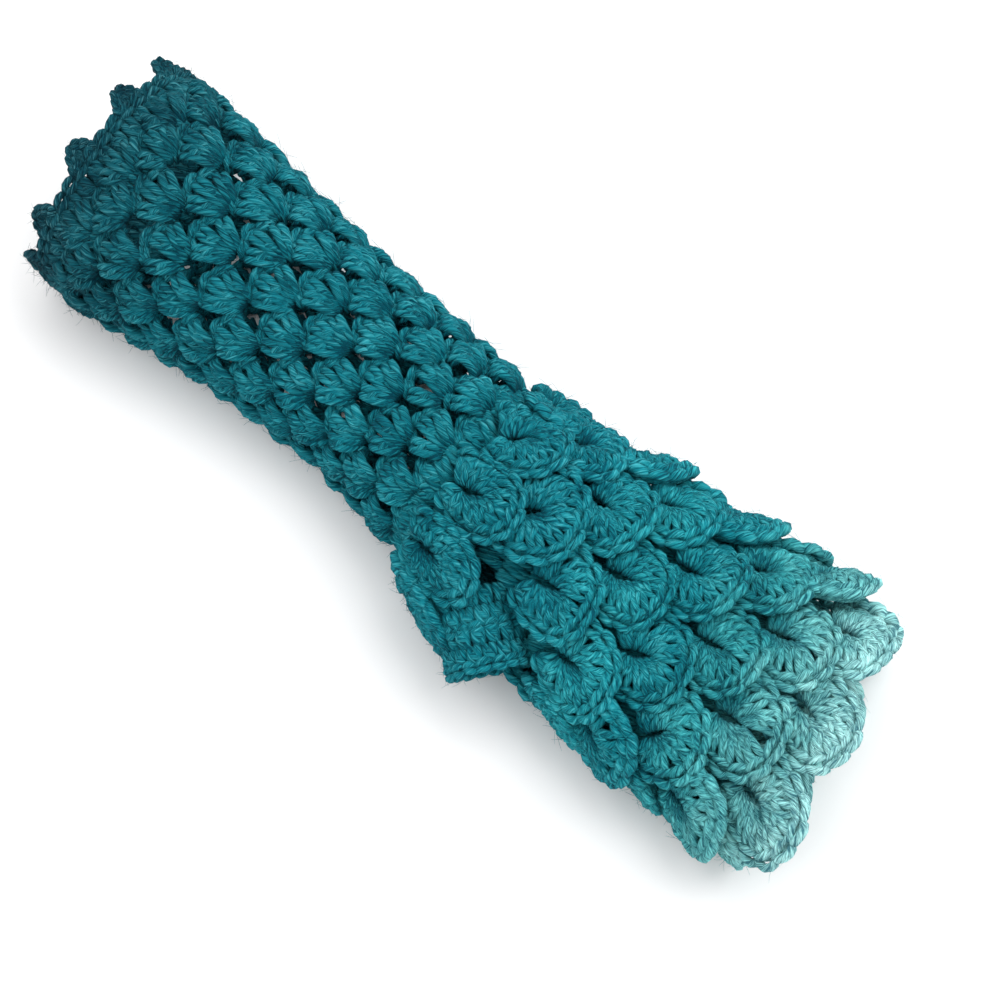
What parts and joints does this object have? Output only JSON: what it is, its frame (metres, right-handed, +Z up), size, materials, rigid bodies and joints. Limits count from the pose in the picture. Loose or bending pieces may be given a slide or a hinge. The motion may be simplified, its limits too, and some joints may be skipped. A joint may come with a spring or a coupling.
{
  "type": "crochet glove",
  "caption": "Elbow-length fingerless crochet glove for the left hand, with an open-work sleeve, a picot edge and overlapping scales over the hand.",
  "frame": {"origin": "on the table under the middle of the glove's box", "axes": "+X runs along the glove to the fingers, -Y is the thumb side, +Z is up from the back of the hand"},
  "size_m": [0.3224, 0.1104, 0.066],
  "materials": {
    "yarn_deep_teal": "matte plied yarn",
    "yarn_teal": "matte plied yarn",
    "yarn_aqua": "matte plied yarn"
  },
  "bodies": {
    "root": {"picot_edge": "yarn_deep_teal", "arm_sleeve": "yarn_deep_teal", "hand_body": "yarn_teal", "thumb_cuff": "yarn_teal", "scale_1_1": "yarn_teal", "scale_1_2": "yarn_teal", "scale_1_3": "yarn_teal", "scale_1_4": "yarn_teal", "scale_1_5": "yarn_teal", "scale_1_6": "yarn_teal", "scale_1_7": "yarn_teal", "scale_1_8": "yarn_teal", "scale_1_9": "yarn_teal", "scale_2_1": "yarn_teal", "scale_2_4": "yarn_teal", "scale_2_5": "yarn_teal", "scale_2_6": "yarn_teal", "scale_2_7": "yarn_teal", "scale_3_1": "yarn_teal", "scale_3_3": "yarn_teal", "scale_3_4": "yarn_teal", "scale_3_5": "yarn_teal", "scale_3_6": "yarn_teal", "scale_3_7": "yarn_teal", "scale_4_1": "yarn_teal", "scale_4_2": "yarn_teal", "scale_4_3": "yarn_teal", "scale_4_4": "yarn_teal", "scale_4_5": "yarn_teal", "scale_4_6": "yarn_teal", "scale_4_7": "yarn_teal", "scale_5_1": "yarn_aqua", "scale_5_2": "yarn_aqua", "scale_5_3": "yarn_aqua", "scale_5_4": "yarn_aqua", "scale_5_5": "yarn_aqua", "scale_5_6": "yarn_aqua", "scale_5_7": "yarn_aqua", "scale_6_1": "yarn_aqua", "scale_6_2": "yarn_aqua", "scale_6_3": "yarn_aqua", "scale_6_4": "yarn_aqua", "scale_6_5": "yarn_aqua", "scale_6_6": "yarn_aqua", "scale_6_7": "yarn_aqua", "scale_7_1": "yarn_aqua", "scale_7_2": "yarn_aqua", "scale_7_3": "yarn_aqua", "scale_7_4": "yarn_aqua", "scale_7_5": "yarn_aqua", "scale_7_6": "yarn_aqua", "scale_7_7": "yarn_aqua", "scale_8_1": "yarn_aqua", "scale_8_2": "yarn_aqua", "scale_8_3": "yarn_aqua", "scale_8_4": "yarn_aqua", "scale_8_5": "yarn_aqua", "scale_8_6": "yarn_aqua", "scale_8_7": "yarn_aqua"}
  },
  "joints": []
}
